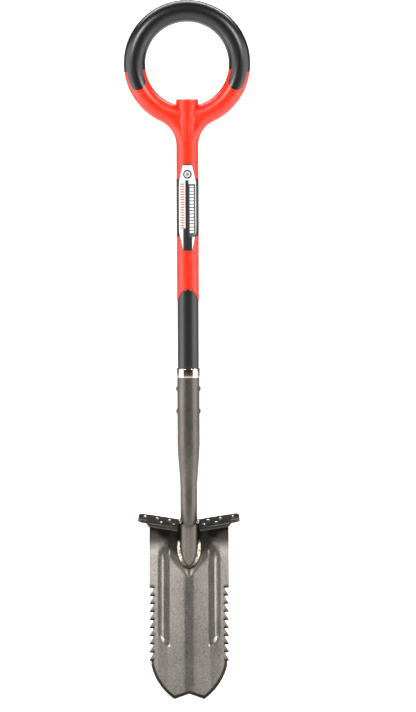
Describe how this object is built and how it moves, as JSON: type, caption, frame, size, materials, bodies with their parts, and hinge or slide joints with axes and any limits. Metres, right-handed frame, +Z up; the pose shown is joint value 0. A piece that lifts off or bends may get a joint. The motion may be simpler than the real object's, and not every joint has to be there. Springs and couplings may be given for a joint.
{
  "type": "detecting shovel",
  "caption": "Long digging shovel with a round ring handle, orange shaft, steel socket, foot treads and a narrow serrated blade with a notched tip.",
  "frame": {"origin": "on the shaft axis, level with the two points at the blade's tip", "axes": "+Z up the shaft to the ring handle, -Y the way the blade's tip leans and its ridged face looks, X across the blade"},
  "size_m": [0.2028, 0.0923, 1.1137],
  "materials": {
    "orange_moulding": "satin glass-filled nylon, moulded",
    "soft_grip": "matt soft-touch overmould",
    "fibreglass": "pultruded fibreglass rod",
    "label_film": "glossy printed film",
    "label_face": "metallised printed face",
    "collar_nickel": "polished nickel plate",
    "powder_coat": "textured gunmetal powder coat on carbon steel",
    "rivet_steel": "steel rivets under the powder coat",
    "weld_bead": "bare weld metal"
  },
  "bodies": {
    "root": {"handle_body": "orange_moulding", "ring_grip": "soft_grip", "lower_grip": "soft_grip", "core_rod": "fibreglass", "label_band": "label_film", "label_plate": "label_face", "collar": "collar_nickel", "socket": "powder_coat", "rivets": "rivet_steel", "blade": "powder_coat", "tread_left": "powder_coat", "tread_right": "powder_coat", "socket_weld": "weld_bead", "tread_seam_left": "weld_bead", "tread_seam_right": "weld_bead", "tread_tack_left": "weld_bead", "tread_tack_right": "weld_bead"}
  },
  "joints": []
}
